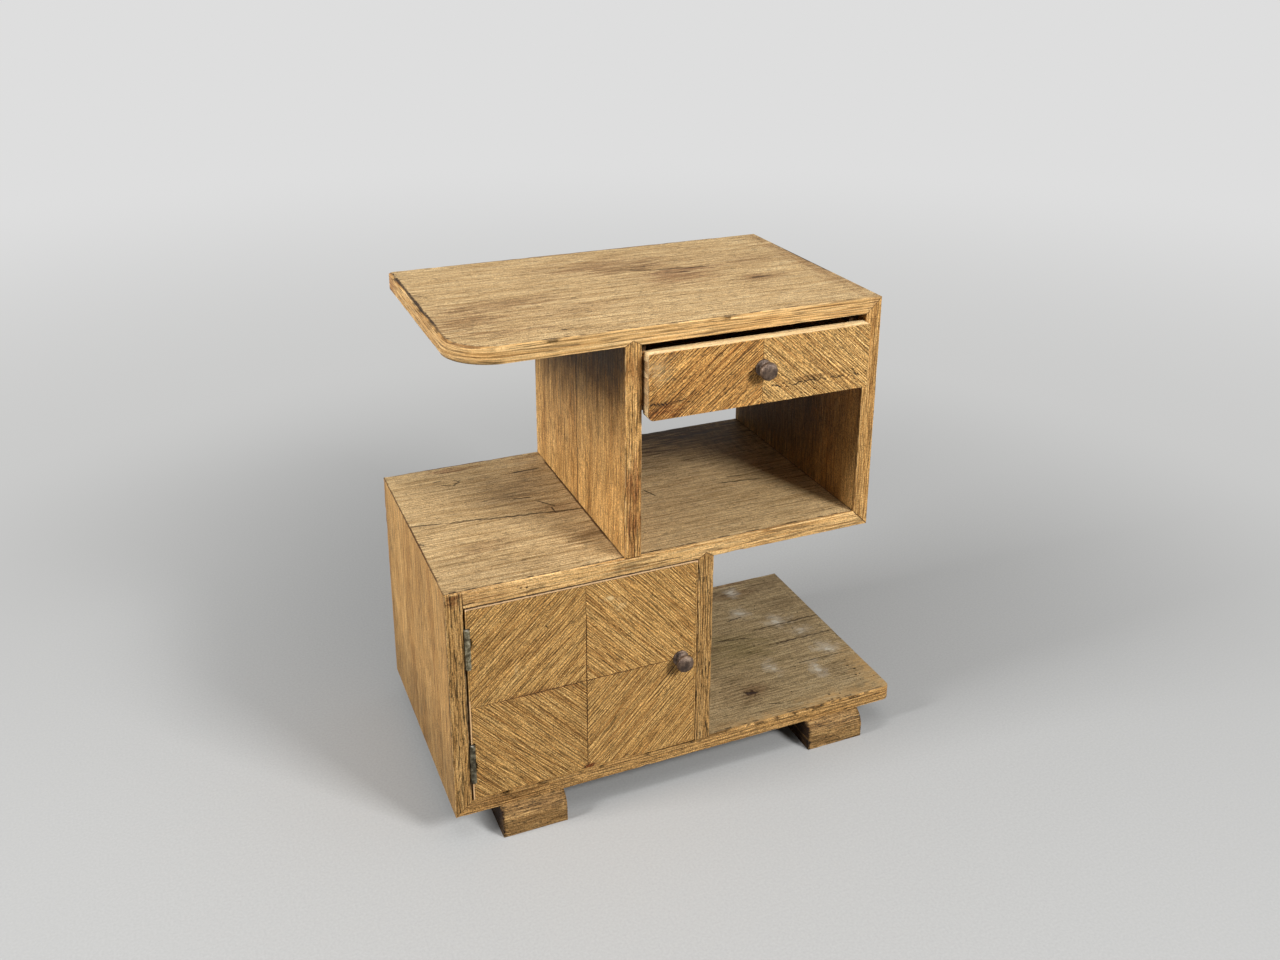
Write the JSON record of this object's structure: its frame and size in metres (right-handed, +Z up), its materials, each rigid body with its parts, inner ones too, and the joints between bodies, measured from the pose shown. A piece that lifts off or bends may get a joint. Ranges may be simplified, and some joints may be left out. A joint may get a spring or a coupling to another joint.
{
  "type": "bedside cabinet",
  "caption": "Stepped oak bedside cabinet with an overhanging round-cornered top, a drawer over an open niche, a hinged-door cupboard and an open base shelf.",
  "frame": {"origin": "middle of the footprint at floor level, half way between the left side and the right end of the base, and between the drawer knob's face and the back", "axes": "+Z up, +Y from the front towards the back, +X towards the right end as seen from the front"},
  "size_m": [0.6, 0.353, 0.61],
  "materials": {
    "board_veneer_horizontal": "dry worn oak veneer, open grain",
    "board_veneer_upright": "oak veneer, upright open grain",
    "shelf_veneer": "stained and scuffed oak veneer",
    "oak_lipping": "solid oak edge strip, worn arris",
    "oak_foot": "solid oak block, worn and dirty foot",
    "matched_veneer": "matched diagonal oak veneer, raised grain",
    "edge_strip": "bare light oak strip",
    "door_lining": "plain veneered inside",
    "drawer_front_wood": "bare light wood",
    "drawer_box_wood": "unfinished beech",
    "thin_ply": "thin plywood, aged",
    "runner_wood": "unfinished beech strip",
    "dowel_wood": "beech dowel",
    "hinge_steel": "dull grey-green patina",
    "pin_steel": "worn bright at the head",
    "screw_steel": "aged steel",
    "knob_brass": "dark brown patina",
    "catch_brass": "aged brass"
  },
  "bodies": {
    "cabinet": {"top_board": "board_veneer_horizontal", "top_edge_band": "oak_lipping", "right_side": "board_veneer_upright", "right_side_lipping": "oak_lipping", "upper_divider": "board_veneer_upright", "upper_divider_lipping": "oak_lipping", "middle_board": "board_veneer_horizontal", "middle_lipping": "oak_lipping", "left_side": "board_veneer_upright", "left_side_lipping": "oak_lipping", "lower_divider": "board_veneer_upright", "lower_divider_lipping": "oak_lipping", "base_board": "shelf_veneer", "base_lipping": "oak_lipping", "front_left_foot": "oak_foot", "front_right_foot": "oak_foot", "rear_left_foot": "oak_foot", "rear_right_foot": "oak_foot", "foot_screws": "screw_steel", "divider_dowels": "dowel_wood", "cupboard_back_panel": "thin_ply", "bay_back_panel": "thin_ply", "back_panel_pins": "screw_steel", "left_runner": "runner_wood", "right_runner": "runner_wood", "left_kicker": "runner_wood", "right_kicker": "runner_wood", "runner_screws": "screw_steel", "drawer_stops": "runner_wood", "door_stop_strip": "runner_wood", "strike_plate": "catch_brass", "upper_hinge_cabinet_leaf": "hinge_steel", "lower_hinge_cabinet_leaf": "hinge_steel", "upper_hinge_pin": "pin_steel", "lower_hinge_pin": "pin_steel", "hinge_cabinet_screws": "screw_steel"},
    "door": {"door_core": "door_lining", "door_edge_strips": "edge_strip", "door_veneer_upper_left": "matched_veneer", "door_veneer_upper_right": "matched_veneer", "door_veneer_lower_left": "matched_veneer", "door_veneer_lower_right": "matched_veneer", "door_back_veneer": "door_lining", "upper_hinge_door_leaf": "hinge_steel", "lower_hinge_door_leaf": "hinge_steel", "hinge_door_screws": "screw_steel", "door_knob": "knob_brass", "door_knob_screw": "screw_steel", "catch_barrel": "catch_brass", "catch_ball": "catch_brass", "catch_spring": "screw_steel"},
    "drawer": {"drawer_front_core": "drawer_front_wood", "drawer_veneer_left": "matched_veneer", "drawer_veneer_right": "matched_veneer", "drawer_left_side": "drawer_box_wood", "drawer_right_side": "drawer_box_wood", "drawer_back": "drawer_box_wood", "drawer_bottom": "thin_ply", "drawer_knob": "knob_brass", "drawer_knob_screw": "screw_steel"}
  },
  "joints": [
    {"name": "door_hinge", "type": "hinge", "parent": "cabinet", "child": "door", "pos_m": [-0.2767, -0.1469, 0.18], "axis": [0, 0, -1], "range_deg": [0, 170]},
    {"name": "drawer_slide", "type": "slide", "parent": "cabinet", "child": "drawer", "axis": [0, -1, 0], "range_m": [-0.012, 0.2]}
  ]
}
